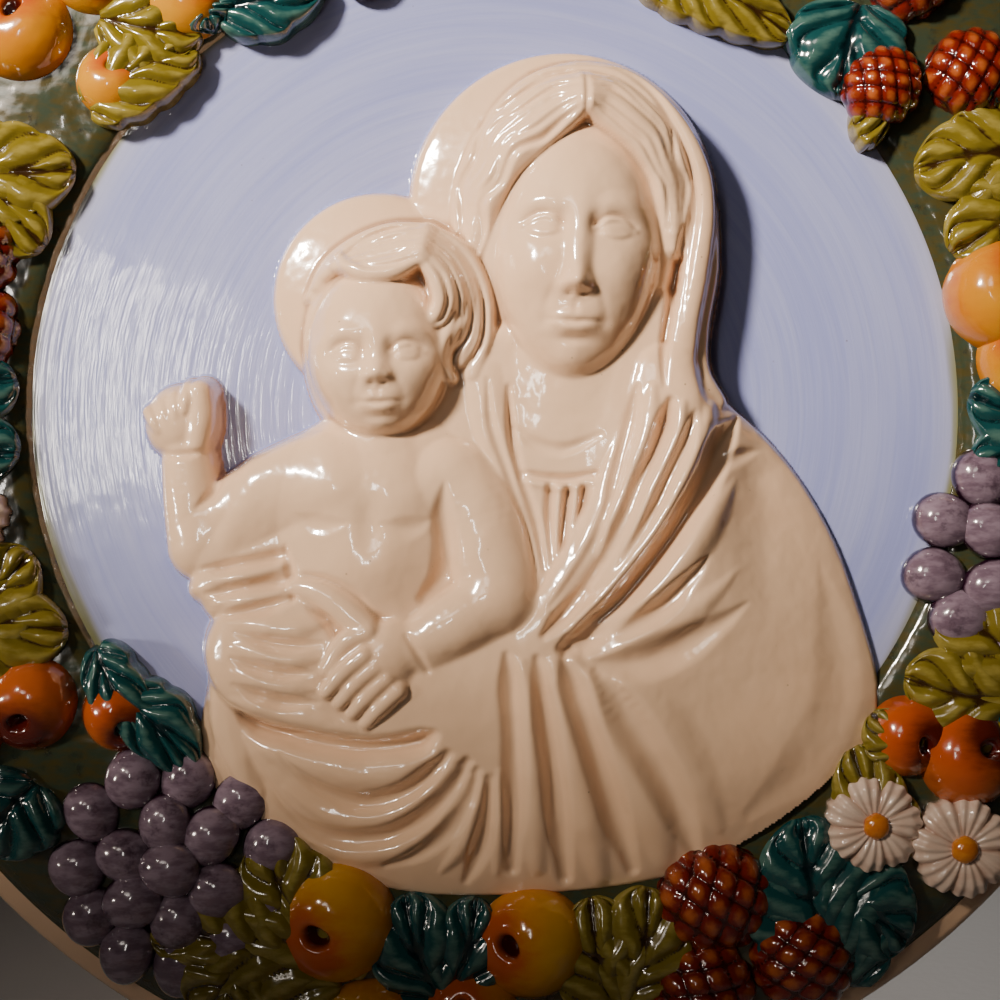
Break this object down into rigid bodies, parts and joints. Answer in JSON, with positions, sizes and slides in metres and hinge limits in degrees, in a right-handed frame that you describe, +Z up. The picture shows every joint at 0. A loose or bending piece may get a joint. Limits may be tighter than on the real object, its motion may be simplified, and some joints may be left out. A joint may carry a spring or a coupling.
{
  "type": "decorative wall plaque",
  "caption": "Round glazed earthenware wall plaque: a veiled mother and child in ivory relief on a lavender-blue field, framed by a garland of fruit, flowers and leaves.",
  "frame": {"origin": "middle of the flat back, on the wall plane", "axes": "+Z up, +X to the viewer's right, the relief faces -Y and the back faces +Y"},
  "size_m": [0.35, 0.0413, 0.35],
  "materials": {
    "ivory_glaze": "glossy ivory glaze over earthenware",
    "blue_glaze": "glossy lavender-blue glaze, brushed on",
    "fruit_glaze": "glossy orange and yellow glaze",
    "leaf_glaze": "glossy olive and teal glaze, dark in the veins",
    "grape_glaze": "glossy grey-purple glaze",
    "cone_glaze": "glossy red-brown glaze with orange scales"
  },
  "bodies": {
    "root": {"plaque": "ivory_glaze"}
  },
  "joints": []
}
